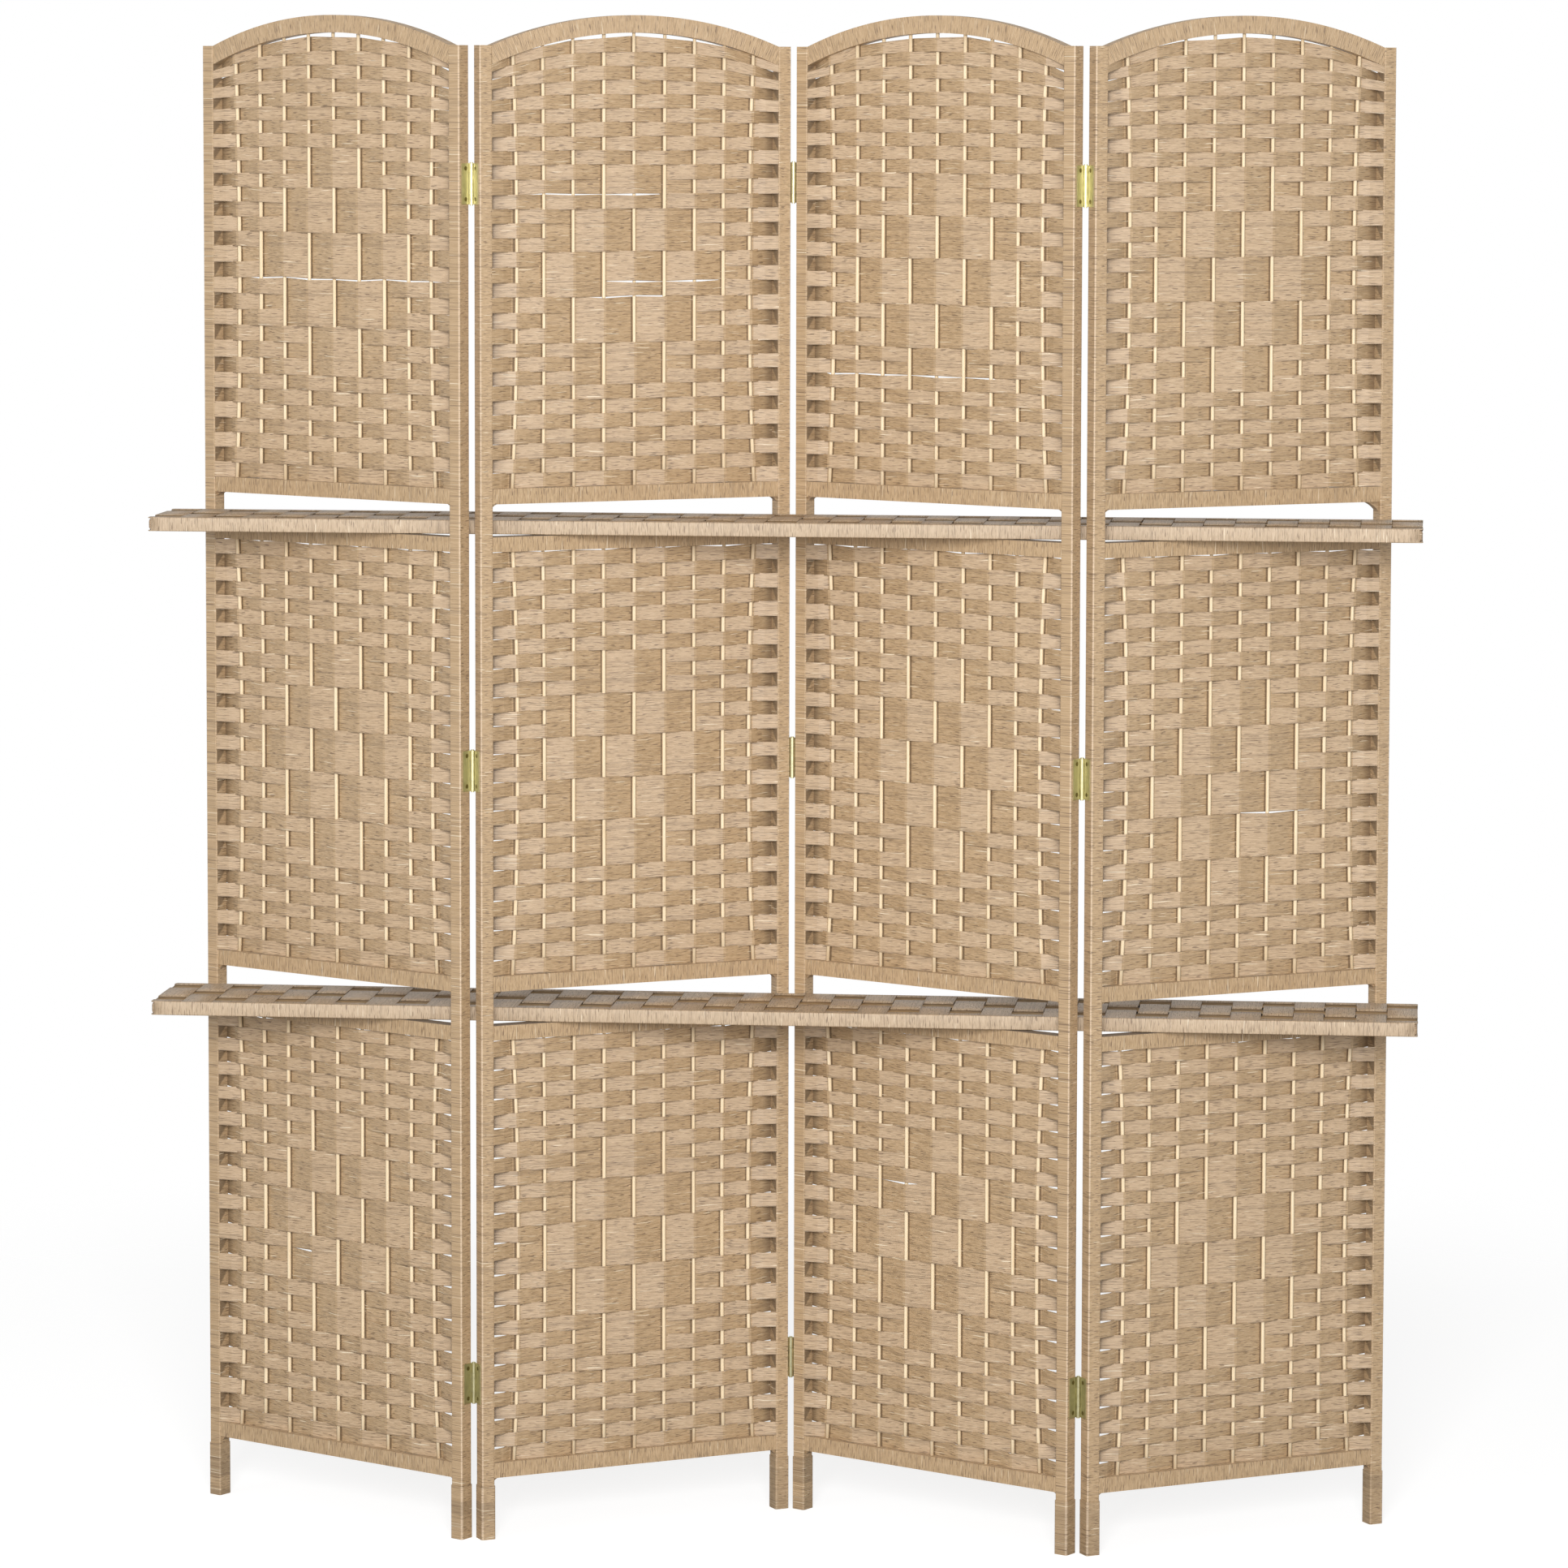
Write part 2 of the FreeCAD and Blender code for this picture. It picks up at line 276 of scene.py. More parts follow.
# The rails: thinner bars between the stiles, one at the foot and one on each side of a slot,
# wound with the same paper fibre, so here the strands stand upright.
slot_beds = [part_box(f"{level}_shelf")[0][2] - 0.0003 for level in ("lower", "upper")]
for number in standing:
    def wound_upright(start):
        across, back, up = on_panel(start, number)
        return up + back, across * (1 / strand_width)

    def painted_shelf_shade(start):
        """Painted shade on top of the rail that a shelf lies on."""
        _, _, up = on_panel(start, number)
        beds = [1.0 - (up - bed).math("ABSOLUTE").between(0.0003, 0.0010) for bed in slot_beds]
        return beds[0].math("MAXIMUM", beds[1]) * 0.85

    rail_paper = paper(f"rail_paper_{number}", wound_upright, paper_light, paper_dark,
                       ((painted_shelf_shade, near_black),), rough=0.8)
    for name in ("bottom_rail", "lower_slot_rails", "upper_slot_rails"):
        give_finish(f"panel_{number}_{name}", rail_paper)


# The bow over each panel: a bent bar between the stile tops, wound the same way, so its strands
# point to the middle of the bend.
bow_radius, bow_underside, bow_centre = 0.4882, 0.4677, 1.3118
for number in standing:
    def wound_radially(start):
        across, back, up = on_panel(start, number)
        angle = (across - panel_middle).math("ARCTAN2", up - bow_centre)
        return up + back, angle * (bow_radius / strand_width)

    give_finish(f"panel_{number}_arch",
                paper(f"bow_paper_{number}", wound_radially, paper_light, paper_dark))


# The reeds: nine thin pale sticks in each field of a panel, pushed into the wound rails.
# The weave draws the outer ones in a little in the middle of a field.
inner_left, inner_right, middle_depth = 0.016, 0.384, 0.009
reed_pitch = 0.039
reed_at = [0.044 + reed_pitch * k for k in range(9)]
fields = {"lower": (0.091, 0.596), "middle": (0.672, 1.173), "upper": (1.247, 1.7795)}
most_drawn_in = 0.0062


def under_bow(across):
    """The height of the bow's underside."""
    return bow_centre + math.sqrt(bow_underside ** 2 - (across - panel_middle) ** 2)


def drawn_in(across, height, level):
    """How far sideways the weave has drawn a point of a field."""
    low, high = fields[level]
    part = min(1, max(0, (height - low) / (high - low)))
    bulge = 1 - abs(2 * part - 1) ** 2.5
    # The outer reed is 4 steps from the middle, and the stile another 0.72.
    steps = abs(across - panel_middle) / reed_pitch
    if steps > 4:
        share = max(0, 1 - (steps - 4) / 0.72)
    else:
        share = max(0, 0.25 * (steps - 2)) if steps < 3 else 0.25 + 0.75 * (steps - 3)
    return math.copysign(most_drawn_in * bulge * share, panel_middle - across)


def stand_up(piece, number):
    """Carry a piece from its panel's own axes to where the panel stands."""
    angle, left, front = standing[number]
    turned = Matrix.Rotation(math.radians(angle), 4, "Z")
    piece.matrix_world = Matrix.Translation((left, front, 0)) @ turned
    bpy.ops.object.select_all(action="DESELECT")
    piece.select_set(True)
    bpy.context.view_layer.objects.active = piece
    bpy.ops.object.transform_apply(location=True, rotation=True, scale=True)


def made_one(parts, name):
    """Join parts into one piece."""
    bpy.ops.object.select_all(action="DESELECT")
    for part in parts:
        part.select_set(True)
    bpy.context.view_layer.objects.active = parts[0]
    if len(parts) > 1:
        bpy.ops.object.join()
    parts[0].name = parts[0].data.name = name
    return parts[0]


def copied(shape):
    """A copy of a shape, with a mesh of its own."""
    copy = bpy.data.objects.new(shape.name, shape.data.copy())
    bpy.context.scene.collection.objects.link(copy)
    return copy


def cut_into(shape, axis, cuts):
    """Divide those edges of the active shape, 1 long, that run its whole length along an axis."""
    bpy.ops.object.mode_set(mode="EDIT")
    bpy.ops.mesh.select_mode(type="EDGE")
    bpy.ops.mesh.select_all(action="DESELECT")
    bpy.ops.object.mode_set(mode="OBJECT")
    for edge in shape.data.edges:
        ends = [shape.data.vertices[v].co[axis] for v in edge.vertices]
        edge.select = abs(ends[0] - ends[1]) > 0.5
    bpy.ops.object.mode_set(mode="EDIT")
    bpy.ops.mesh.subdivide(number_cuts=cuts)
    bpy.ops.mesh.select_all(action="SELECT")
    bpy.ops.object.mode_set(mode="OBJECT")


finish, start, end = blank("peeled_reed")
place = start.node("TexCoord", {}, out="Object")
grain = start.node("TexNoise", {"Vector": place.stretched(900, 900, 22), "Scale": 1.0,
                                "Detail": 3.0})
knot = start.node("TexNoise", {"Vector": place.stretched(30, 30, 14),
                               "Scale": 1.0}).between(0.62, 0.75)
colour = (grain * 1.3 - 0.15).mix((0.78, 0.57, 0.33), (0.93, 0.81, 0.60))
colour = (knot * 0.25).mix(colour, (0.62, 0.42, 0.22))
bump = start.node("Bump", {"Height": grain, "Strength": 0.25, "Distance": 0.0003})
end(start.node("BsdfPrincipled", {"Base Color": colour, "Roughness": 0.55,
                                  "Specular IOR Level": 0.35, "Normal": bump}))

bpy.ops.object.select_all(action="DESELECT")
bpy.ops.mesh.primitive_cylinder_add(vertices=8, radius=0.0022, depth=1, location=(0, 0, 0.5))
reed = bpy.context.object
bpy.ops.object.transform_apply(location=True, rotation=False, scale=False)
cut_into(reed, 2, 8)
reed.data.shade_smooth()
reed.data.materials.append(finish)
chance = random.Random(5)
for number in standing:
    sticks = []
    for level, (low, high) in fields.items():
        for place in reed_at:
            stick = copied(reed)
            top = under_bow(place) if level == "upper" else high
            lean, thick = chance.uniform(-0.0012, 0.0012), chance.uniform(0.92, 1.06)
            for point in stick.data.vertices:
                height = low - 0.001 + point.co.z * (top - low + 0.002)
                aside = place + drawn_in(place, height, level) + lean * (point.co.z - 0.5)
                back = point.co.y * thick + middle_depth
                point.co = (point.co.x * thick + aside, back, height)
            sticks.append(stick)
    reeds = made_one(sticks, f"panel_{number}_reed_sticks")
    stand_up(reeds, number)
    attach(reeds, f"panel_{number}")
    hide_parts(f"panel_{number}_reeds")
bpy.data.objects.remove(reed)


# The corner wraps: under a rail's two ends the winding crosses over to the stile, and rounds the
# corner with a small web of stretched paper. The last panel's upper slot has a wider one.
rail_undersides = (0.073, 0.654, 1.229)


def finished_by(piece, kind, **settings):
    """Put a modifier with these settings on the active piece, and apply it."""
    added = piece.modifiers.new(kind.lower(), kind)
    for name, value in settings.items():
        setattr(added, name, value)
    bpy.ops.object.modifier_apply(modifier=added.name)


bpy.ops.object.select_all(action="DESELECT")
bpy.ops.mesh.primitive_grid_add(x_subdivisions=8, y_subdivisions=1, size=1)
web = bpy.context.object
for point in web.data.vertices:
    turn = point.co.x + 0.5
    if point.co.y < 0:
        point.co = (max(0, 1 - 2 * turn) - 0.04, 0, 0.04 - max(0, 2 * turn - 1))
    else:
        point.co = ((1 - turn) ** 1.3, 0, -turn ** 1.3)
finished_by(web, "SOLIDIFY", thickness=0.0095, offset=0)
# The web's paper is painted darker than the rest, as shade in the set-back corner.
web.data.materials.append(paper("shaded_web_paper", wound_level, (0.50, 0.35, 0.205), (0.26, 0.16, 0.07),
                                rough=0.8))
for number in standing:
    webs = []
    for under_rail in rail_undersides:
        for on_right in (False, True):
            widest = number == 4 and under_rail == rail_undersides[-1] and on_right
            along, down = (0.017, 0.012) if widest else (0.0075, 0.0055)
            corner = copied(web)
            for point in corner.data.vertices:
                across = inner_left + point.co.x * along
                point.co = (panel_width - across if on_right else across,
                            point.co.y + middle_depth + 0.0005, under_rail + point.co.z * down)
            webs.append(corner)
    wraps_at_corners = made_one(webs, f"panel_{number}_corner_wraps")
    bpy.ops.object.mode_set(mode="EDIT")
    bpy.ops.mesh.select_all(action="SELECT")
    bpy.ops.mesh.normals_make_consistent(inside=False)
    bpy.ops.object.mode_set(mode="OBJECT")
    stand_up(wraps_at_corners, number)
    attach(wraps_at_corners, f"panel_{number}")
bpy.data.objects.remove(web)


# The woven mats: flat ribbons of about ten paper strands, passed from stile to stile behind
# and in front of the reeds. In the middle of each mat some rows change places to leave a diamond.

# For each mat: how many rows lie below its diamond, the heights in millimetres between which the
# diamond's five blocks of three rows lie, and how many rows lie above it.
blocks = {("lower", 1): (7, (221, 280, 337, 391, 441, 490), 7),
          ("lower", 2): (7, (207, 259, 315, 371, 421, 472), 7),
          ("lower", 3): (7, (215, 267, 323, 381, 433, 483), 7),
          ("lower", 4): (7, (207, 258, 309, 360, 411, 461), 8),
          ("middle", 1): (7, (786, 844, 899, 951, 1002, 1054), 7),
          ("middle", 2): (7, (796, 851, 901, 951, 1001, 1052), 7),
          ("middle", 3): (7, (794, 844, 895, 945, 995, 1047), 7),
          ("middle", 4): (5, (759, 814, 866, 915, 970, 1024), 9),
          ("upper", 1): (7, (1373, 1431, 1488, 1543, 1596, 1644), 8),
          ("upper", 2): (7, (1367, 1416, 1470, 1523, 1573, 1625), 9),
          ("upper", 3): (7, (1361, 1411, 1462, 1516, 1566, 1616), 10),
          ("upper", 4): (7, (1362, 1416, 1468, 1520, 1573, 1625), 9)}
# The reeds that each kind of row passes behind, and so leaves in view.
odd, even = (1, 3, 5, 7, 9), (2, 4, 6, 8)
narrow, wide, full = (1, 3, 4, 6, 7, 9), (2, 3, 5, 7, 8), (1, 2, 4, 6, 8, 9)
diamond = [even, narrow, even, odd, wide, odd, even, full, even, odd, wide, odd, even, narrow, even]
ribbon_thickness = 0.0013
# How far from the middle of the panel's depth a ribbon passes a reed, and lies in a pocket.
beside_reed, by_face = 0.0034, 0.0084


def ribbon_path(shown):
    """Points along a row: place across, depth, how wide the ribbon is there and how much painted
    shade it takes.
    """
    def side(k):
        return 1 if k in shown else -1

    def by_stile(place, share, k):
        away = -side(k) * share
        return (place, middle_depth + away * by_face, 1.02, away)

    path = [by_stile(inner_left - 0.0025, 1.0, 1), by_stile(inner_left + 0.0005, 0.93, 1),
            by_stile(inner_left + 0.0130, 0.36, 1)]
    for k, place in enumerate(reed_at, 1):
        if k in shown:
            path += [(place - 0.0050, middle_depth + 0.0027, 1.12, 0),
                     (place, middle_depth + beside_reed, 1.12, 2.0),
                     (place + 0.0050, middle_depth + 0.0027, 1.12, 0)]
        else:
            path += [(place + step, middle_depth - beside_reed, 1.0, 0)
                     for step in (-0.0016, 0.0016)]
    path += [by_stile(inner_right - 0.0130, 0.36, 9), by_stile(inner_right - 0.0005, 0.93, 9),
             by_stile(inner_right + 0.0025, 1.0, 9)]
    return path


def ribbon_shape(shown):
    """A ribbon 1 high: a flat strip drawn out along its path."""
    path = ribbon_path(shown)
    bpy.ops.object.select_all(action="DESELECT")
    bpy.ops.mesh.primitive_cube_add(size=1, location=(0.5, 0, 0.5), scale=(1, ribbon_thickness, 1))
    ribbon = bpy.context.object
    bpy.ops.object.transform_apply(location=True, rotation=True, scale=True)
    cut_into(ribbon, 0, len(path) - 2)
    woven = ribbon.data.uv_layers.active.data
    for face in ribbon.data.polygons:
        for loop in face.loop_indices:
            point = ribbon.data.vertices[ribbon.data.loops[loop].vertex_index].co
            place = path[round(point.x * (len(path) - 1))][0]
            woven[loop].uv = (place + (0.5 if face.center.y > 0 else 0), point.z)
    sunk = ribbon.data.attributes.new("sunk", "FLOAT", "POINT")
    for point in ribbon.data.vertices:
        place, depth, width, dark = path[round(point.co.x * (len(path) - 1))]
        sunk.data[point.index].value = dark
        point.co = (place, depth + point.co.y, 0.5 + (point.co.z - 0.5) * width)
    tilt = ribbon.data.attributes.new("tilt", "FLOAT", "FACE")
    for face in ribbon.data.polygons:
        ends = sorted(ribbon.data.vertices[v].co[:2] for v in face.vertices)
        away = ends[-1][1] - ends[0][1]
        tilt.data[face.index].value = math.copysign(1, away) if abs(away) > 0.004 else 0
    return ribbon


def woven_in(start):
    """Strands along a ribbon: ten to a mat's ribbon, and more to a shelf's broader bands."""
    place = start.node("TexCoord", {}, out="UV")
    return place.part("X"), place.part("Y") * 10.0


def in_pocket(start):
    """Painted shade where a ribbon goes in close behind a reed, where it turns back behind a stile,
    and in the joint between two rows."""
    sunk = start.node("Attribute", {}, attribute_name="sunk", out="Fac").between(0.3, 1.0) * 0.62
    in_row = start.node("TexCoord", {}, out="UV").part("Y").math("FRACT", 0.0)
    return sunk.math("MAXIMUM", (1.0 - in_row.between(0.02, 0.10)) * 0.30)


def turned_to_light(start):
    """A painted grey sheen, on the slopes that a panel turns to the front."""
    return start.node("Attribute", {}, attribute_name="tilt", out="Fac").between(0.2, 0.8) * 0.08


mat_paper = paper("mat_paper", woven_in, paper_light, paper_dark,
                  ((turned_to_light, (0.60, 0.51, 0.48)), (in_pocket, near_black)))


# The top row leaves a gap under the middle of the bow, which closes to both sides.
bow_gap, gap_reach, bent_from, bent_to = 0.0055, 0.13, 1.60, 1.774


def bent_down(across, up, level):
    """How far the top rows bend down to the corners under the bow, where they crowd."""
    share = max(0, (up - bent_from) / (bent_to - bent_from)) if level == "upper" else 0
    fall = under_bow(panel_middle) - under_bow(across)
    return (fall - bow_gap * min(1, (abs(across - panel_middle) / gap_reach) ** 2)) * share ** 3


def other_paper(shape, along, across):
    """Let a shape show another stretch of its paper."""
    for loop in shape.data.uv_layers.active.data:
        loop.uv = (loop.uv[0] + along, loop.uv[1] + across)


# Thin openings between two rows: the row above one, and where it starts and ends across the panel.
slits = {("upper", 1): ((13, 0.075, 0.37),),
         ("upper", 2): ((20, 0.06, 0.237), (14, 0.165, 0.315), (13, 0.15, 0.24)),
         ("upper", 3): ((8, 0.038, 0.28),), ("lower", 1): ((12, 0.10, 0.16),),
         ("middle", 4): ((11, 0.20, 0.31),), ("lower", 3): ((18, 0.07, 0.17),)}
shapes = {shown: ribbon_shape(shown) for shown in (odd, even, narrow, wide, full)}

# In a pocket a turn of the ribbon, slightly bulged, crosses the stile's inner face; its upper part
# takes a painted shadow.
turn_depth = 0.0150
bpy.ops.object.select_all(action="DESELECT")
bpy.ops.mesh.primitive_cube_add(size=1, location=(0, 0, 0.5), scale=(0.0008, turn_depth, 1))
turn = bpy.context.object
bpy.ops.object.transform_apply(location=True, rotation=True, scale=True)
bpy.ops.object.mode_set(mode="EDIT")
bpy.ops.mesh.subdivide(number_cuts=1)
bpy.ops.object.mode_set(mode="OBJECT")
turn.data.attributes.new("sunk", "FLOAT", "POINT")
for loop, woven in zip(turn.data.loops, turn.data.uv_layers.active.data):
    point = turn.data.vertices[loop.vertex_index].co
    woven.uv = (point.y, point.z)
for point in turn.data.vertices:
    from_sides, from_ends = 2 * point.co.y / turn_depth, 2 * point.co.z - 1
    point.co.x += 0.0004 * (1 - from_sides ** 2) * (1 - from_ends ** 2)

chance = random.Random(11)
for (level, number), (below, marks, above) in blocks.items():
    low, high = fields[level]
    marks = [mark / 1000 for mark in marks]
    order = [odd if (below - row) % 2 else even for row in range(below)]
    order += diamond + [even if row % 2 else odd for row in range(above)]
    heights = [low + 0.0005 + (marks[0] - low - 0.0005) * row / below for row in range(below)]
    for start_mark, end_mark in zip(marks, marks[1:]):
        heights += [start_mark + (end_mark - start_mark) * row / 3 for row in range(3)]
    top = high - (bow_gap if level == "upper" else 0.0015)
    heights += [marks[-1] + (top - marks[-1]) * row / above for row in range(above + 1)]
    rows = []
    # The joints between the rows wave a little.
    waves = [(chance.uniform(0.0002, 0.0007), chance.uniform(0, 6.3)) for _ in heights]
    for row, shown in enumerate(order):
        ribbon = copied(shapes[shown])
        for point in ribbon.data.vertices:
            across, back, part = point.co
            # By the stile that stands farther back, a ribbon spreads where it turns behind it.
            far = across < 0.03 if number in (1, 3) else across > 0.37
            if far and back > middle_depth + 0.002:
                part = 0.5 + (part - 0.5) * 1.13
            lower, upper = (heights[edge] + waves[edge][0] * math.sin(across * 34 + waves[edge][1])
                            for edge in (row, row + 1))
            for opened, first, last in slits.get((level, number), ()):
                if opened == row + 1 and part > 0.8 and first < across < last:
                    upper -= 0.0014
                if opened == row and part < 0.2 and first < across < last:
                    lower += 0.0010
            up = lower + (upper - lower) * part
            up -= bent_down(across, up, level)
            point.co = (across + drawn_in(across, up, level), back + 0.0002 * (row % 2), up)
        if number in (2, 4):
            for tilt in ribbon.data.attributes["tilt"].data:
                tilt.value *= -1
        other_paper(ribbon, 1.3 * row + number, row + 40 * number)
        rows.append(ribbon)
        for reed_number, inner, facing in ((1, inner_left, 1), (9, inner_right, -1)):
            if reed_number in shown:
                continue
            lower, upper = (heights[edge] - bent_down(inner, heights[edge], level)
                            for edge in (row, row + 1))
            pocket = copied(turn)
            for point, sunk in zip(pocket.data.vertices, pocket.data.attributes["sunk"].data):
                aside, back, part = point.co
                # Painted shadow above the line from the front below to the back above.
                sunk.value = 0.65 + 3 * (part - 0.5 - facing * back / turn_depth)
                point.co = (inner + facing * aside, middle_depth + facing * back,
                            lower + (upper - lower) * part)
            other_paper(pocket, 1.3 * row + number, row + 40 * number)
            rows.append(pocket)
    mat = made_one(rows, f"panel_{number}_{level}_weave")
    mat.data.materials.clear()
    mat.data.materials.append(mat_paper)
    stand_up(mat, number)
    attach(mat, f"panel_{number}")
    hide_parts(f"panel_{number}_{level}_mat")
for shape in (turn, *shapes.values()):
    bpy.data.objects.remove(shape)


# The hinges: small brassed butt hinges, three to a fold, each leaf let onto the stile's end face.
# Pins and leaves share the same lacquered, slightly brushed finish.
finish, start, end = blank("hinge_brass")
place = start.node("TexCoord", {}, out="Object")
brushed = start.node("TexNoise", {"Vector": place.stretched(1400, 1400, 60), "Scale": 1.0,
                                  "Detail": 3.0})
cloud = start.node("TexNoise", {"Vector": place, "Scale": 160.0, "Detail": 2.0})
colour = (brushed * 0.5 + cloud * 0.5).mix((0.34, 0.31, 0.17), (0.72, 0.68, 0.44))
bump = start.node("Bump", {"Height": brushed, "Strength": 0.2, "Distance": 0.0002})
end(start.node("BsdfPrincipled", {"Base Color": colour, "Metallic": 1.0,
                                  "Roughness": brushed * 0.2 + 0.28, "Normal": bump}))
for fold in (1, 2, 3):
    for name in ("leaves_left", "leaves_right", "pins"):
        give_finish(f"fold_{fold}_{name}", finish)


# The screws: countersunk cross-head screws of the same brass, six on each side of a fold.
# They are duller and darker than the leaves.
finish, start, end = blank("screw_brass")
place = start.node("TexCoord", {}, out="Object")
dull = start.node("TexNoise", {"Vector": place, "Scale": 700.0, "Detail": 2.0})
colour = dull.mix((0.10, 0.08, 0.03), (0.34, 0.28, 0.11))
bump = start.node("Bump", {"Height": dull, "Strength": 0.2, "Distance": 0.0001})
end(start.node("BsdfPrincipled", {"Base Color": colour, "Metallic": 1.0, "Roughness": 0.42,
                                  "Normal": bump}))
for fold in (1, 2, 3):
    for side in ("left", "right"):
        give_finish(f"fold_{fold}_screws_{side}", finish)


# The shelves: two alike, each a long board closed in by a plain weave of broad paper bands. The
# board itself shows only in the slits and at its two ends, which are faced with the same paper.
(left, front, bottom), (right, back, top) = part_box("upper_shelf")
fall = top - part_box("lower_shelf")[1][2]
wraps = 41
pitch = (right - left) / wraps
row_pitch = 0.049
rows_at = [back - 0.0255 - row_pitch * row for row in range(3)]
end_rounding = 0.006


def for_both(piece, part, finish):
    """Give the piece to the upper shelf and a copy of it to the lower one."""
    piece.data.materials.clear()
    piece.data.materials.append(finish)
    piece.data.shade_smooth()
    below = copied(piece)
    for point in below.data.vertices:
        point.co.z -= fall
    other_paper(below, 40, 0.5)
    for level, shape in (("upper", piece), ("lower", below)):
        shape.name = shape.data.name = f"{level}_shelf_{part}"
        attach(shape, f"{level}_shelf")
        if part == "wraps":
            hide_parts(f"{level}_shelf")


def within_ends(place, depth, inset=0.0):
    """Keep a place between the shelf's two ends, whose corners are rounded."""
    from_edge = max(0, end_rounding - min(depth - front, back - depth))
    drawn = inset + end_rounding - math.sqrt(end_rounding ** 2 - from_edge ** 2)
    return max(left + drawn, min(right - drawn, place))


def shaded_inside(start):
    """Dark between the bands, and not at the two ends."""
    from_middle = start.node("TexCoord", {}, out="Object").part("X").math("ABSOLUTE")
    return 0.9 - from_middle.between(right - 0.011, right - 0.008)


# The board and its two end caps: the middle and the length of each, by how much it is narrower and
# thinner than the whole shelf, and its rounding.
parts = []
for place, across, narrower, thinner, rounding in (
        (0, right - left - 0.006, 0.006, 0.0094, 0.002),
        (left + 0.0055, 0.0095, 0.0018, 0.0032, 0.004),
        (right - 0.0055, 0.0095, 0.0018, 0.0032, 0.004)):
    bpy.ops.object.select_all(action="DESELECT")
    bpy.ops.mesh.primitive_cube_add(
        size=1, location=(place, (front + back) / 2, (bottom + top) / 2),
        scale=(across, back - front - narrower, top - bottom - thinner))
    part = bpy.context.object
    bpy.ops.object.transform_apply(location=True, rotation=True, scale=True)
    finished_by(part, "BEVEL", width=rounding, segments=3)
    for point in part.data.vertices:
        point.co.x = within_ends(point.co.x, point.co.y, 0.0008)
    parts.append(part)
for_both(made_one(parts, "board"), "board",
         paper("board_paper", wound_level, (0.50, 0.35, 0.21), (0.30, 0.19, 0.10),
               ((shaded_inside, near_black),)))


# The wraps: forty-one bands that pass round the board from front to back, close together at its
# edges. Each dives under the lengthwise bands in turn, the next one at the places between.
wrap_thickness, wrap_inset, wrap_dive, corner = 0.0011, 0.0003, 0.0024, 0.0016
bend = corner - wrap_inset
edge_zone = 0.026
# A wrap that dives under a lengthwise band is fully down over half_down to either side of the
# band's middle, and level again from half_slope on.
half_down, half_slope = 0.0118, 0.0138
stops = sorted([front + corner, front + 0.0045, front + edge_zone, back - 0.0045, back - corner]
               + [place + step for place in rows_at
                  for step in (-half_slope, -half_down, 0, half_down, half_slope)])
# The way round: over the top, down the back edge, along the bottom and up the front edge.
quarter = [(math.sin(math.pi / 8 * step), math.cos(math.pi / 8 * step)) for step in (1, 2, 3)]
run = [(depth, top - wrap_inset, "top") for depth in stops]
run += [(back - corner + bend * out, top - corner + bend * up, "edge") for out, up in quarter]
run += [(back - wrap_inset, top + (bottom - top) * part, "edge") for part in (0.1, 0.5, 0.9)]
run += [(back - corner + bend * up, bottom + corner - bend * out, "edge") for out, up in quarter]
run += [(depth, bottom + wrap_inset, "bottom") for depth in reversed(stops)]
run += [(front + corner - bend * out, bottom + corner - bend * up, "edge") for out, up in quarter]
run += [(front + wrap_inset, bottom + (top - bottom) * part, "edge") for part in (0.1, 0.5, 0.9)]
run += [(front + corner - bend * up, top - corner + bend * out, "edge") for out, up in quarter]
travelled = [0.0]
for (depth, height, _), (next_depth, next_height, _) in zip(run, run[1:] + run[:1]):
    travelled.append(travelled[-1] + math.hypot(next_depth - depth, next_height - height))


def dive(depth, kind):
    """How far down a wrap is, from 0 to 1, at a depth where it passes under lengthwise bands."""
    return max(1 - max(0, min(1, (abs(depth - place) - half_down) / (half_slope - half_down)))
               for row, place in enumerate(rows_at) if row % 2 == kind)


# Two kinds of wrap: one dives under the outer two bands on the top, the other under the middle one.
kinds = []
for kind in range(2):
    bpy.ops.object.select_all(action="DESELECT")
    bpy.ops.mesh.primitive_grid_add(x_subdivisions=2, y_subdivisions=len(run), size=1)
    band = bpy.context.object
    sunk = band.data.attributes.new("sunk", "FLOAT", "POINT")
    station = [round((point.co.y + 0.5) * len(run)) for point in band.data.vertices]
    for loop, woven in zip(band.data.loops, band.data.uv_layers.active.data):
        across = band.data.vertices[loop.vertex_index].co.x + 0.5
        woven.uv = (travelled[station[loop.vertex_index]], across * 2.1)
    for point in band.data.vertices:
        depth, height, face = run[station[point.index] % len(run)]
        across = point.co.x * pitch
        if face != "edge":
            inward = -1 if face == "top" else 1
            clear = min(1, min(depth - front, back - depth) / edge_zone)
            down = dive(depth, kind if face == "top" else 1 - kind)
            sunk.data[point.index].value = down
            height += inward * (0.00012 * (2 * point.co.x) ** 2 * clear + wrap_dive * down)
            across *= 1 - 0.032 * clear
        point.co = (across, depth, height)
    kinds.append(band)

bands = []
chance = random.Random(4)
for wrap in range(wraps):
    band = copied(kinds[wrap % 2])
    middle, skew = left + pitch * (wrap + 0.5), chance.uniform(-0.0006, 0.0006)
    for point in band.data.vertices:
        swing = math.sin(math.pi * (point.co.y - front) / (back - front))
        point.co.x = within_ends(middle + point.co.x + skew * swing, point.co.y)
    other_paper(band, wrap * 0.7, wrap * 2)
    bands.append(band)
for shape in kinds:
    bpy.data.objects.remove(shape)
weave = made_one(bands, "wraps")
bpy.ops.object.mode_set(mode="EDIT")
bpy.ops.mesh.select_all(action="SELECT")
bpy.ops.mesh.remove_doubles(threshold=0.00001)
bpy.ops.mesh.normals_make_consistent(inside=False)
bpy.ops.object.mode_set(mode="OBJECT")
finished_by(weave, "SOLIDIFY", thickness=wrap_thickness, offset=-1)


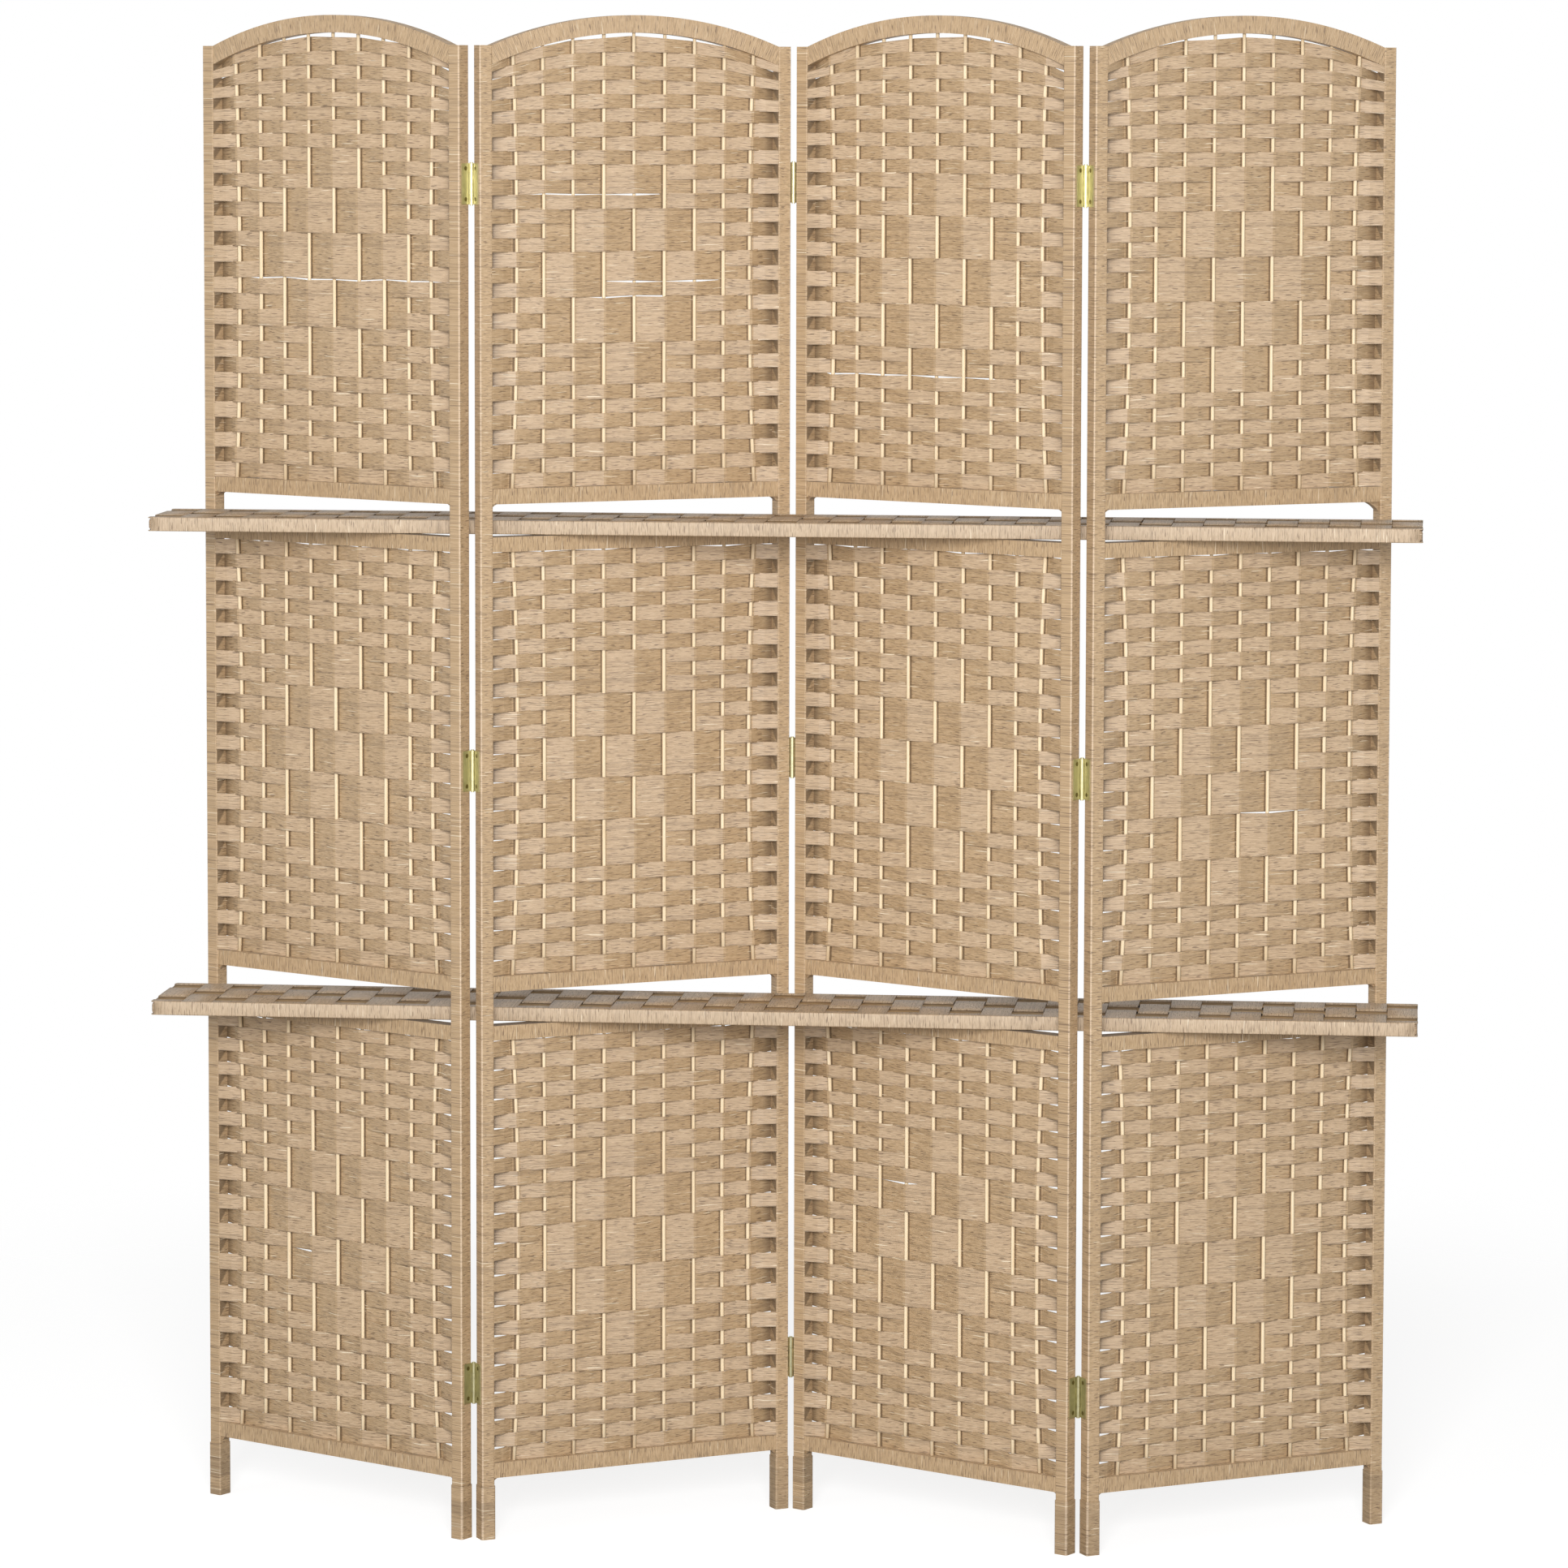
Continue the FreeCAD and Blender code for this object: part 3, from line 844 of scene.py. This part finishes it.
def sunk_in(start):
    """Painted shade in the slits, where a band goes down under another."""
    return start.node("Attribute", {}, attribute_name="sunk", out="Fac").between(0.20, 0.50) * 0.8


for_both(weave, "wraps", paper("wrap_paper", woven_in, (0.61, 0.46, 0.305), (0.37, 0.25, 0.14),
                               ((sunk_in, near_black),)))


# The lengthwise bands: three over the board and three under it, which come up level with the
# wraps where they cross over them, in the same paper painted darker and more golden, as shade where
# their strands catch less sheen than the wraps'.

# How wide and thick a band is, and how far down it lies where it passes over a wrap and under one.
band_width, band_thickness, band_over, band_under = 0.0245, 0.0009, 0.0011, 0.0021
bpy.ops.object.select_all(action="DESELECT")
bpy.ops.mesh.primitive_grid_add(x_subdivisions=wraps * 5, y_subdivisions=3, size=1)
straight = bpy.context.object
bands = []
for face in ("top", "bottom"):
    for row, place in enumerate(rows_at):
        band = copied(straight)
        for point in band.data.vertices:
            along = min((point.co.x + 0.5) * wraps, wraps - 0.01)
            shows = (math.floor(along) + row + (face == "bottom")) % 2 == 0
            hump = math.cos(abs(along - math.floor(along) - 0.5) * math.pi) ** 0.5
            share = 0.5 + (0.5 if shows else -0.5) * hump
            depth = band_under + (band_over - band_under) * share
            point.co = ((right - left - 0.002) * point.co.x, place + point.co.y * band_width,
                        top - depth if face == "top" else bottom + depth)
        for woven in band.data.uv_layers.active.data:
            woven.uv = (woven.uv[0] * 1.5, woven.uv[1] * 1.4 + 3 * row + 90)
        if face == "bottom":
            bpy.ops.object.select_all(action="DESELECT")
            band.select_set(True)
            bpy.context.view_layer.objects.active = band
            bpy.ops.object.mode_set(mode="EDIT")
            bpy.ops.mesh.select_all(action="SELECT")
            bpy.ops.mesh.flip_normals()
            bpy.ops.object.mode_set(mode="OBJECT")
        bands.append(band)
bpy.data.objects.remove(straight)
lengthwise = made_one(bands, "bands")
finished_by(lengthwise, "SOLIDIFY", thickness=band_thickness, offset=-1)
for_both(lengthwise, "bands", paper("lengthwise_paper", woven_in, (0.53, 0.38, 0.22),
                                    (0.31, 0.20, 0.10), gloss=0.1, rough=0.95))
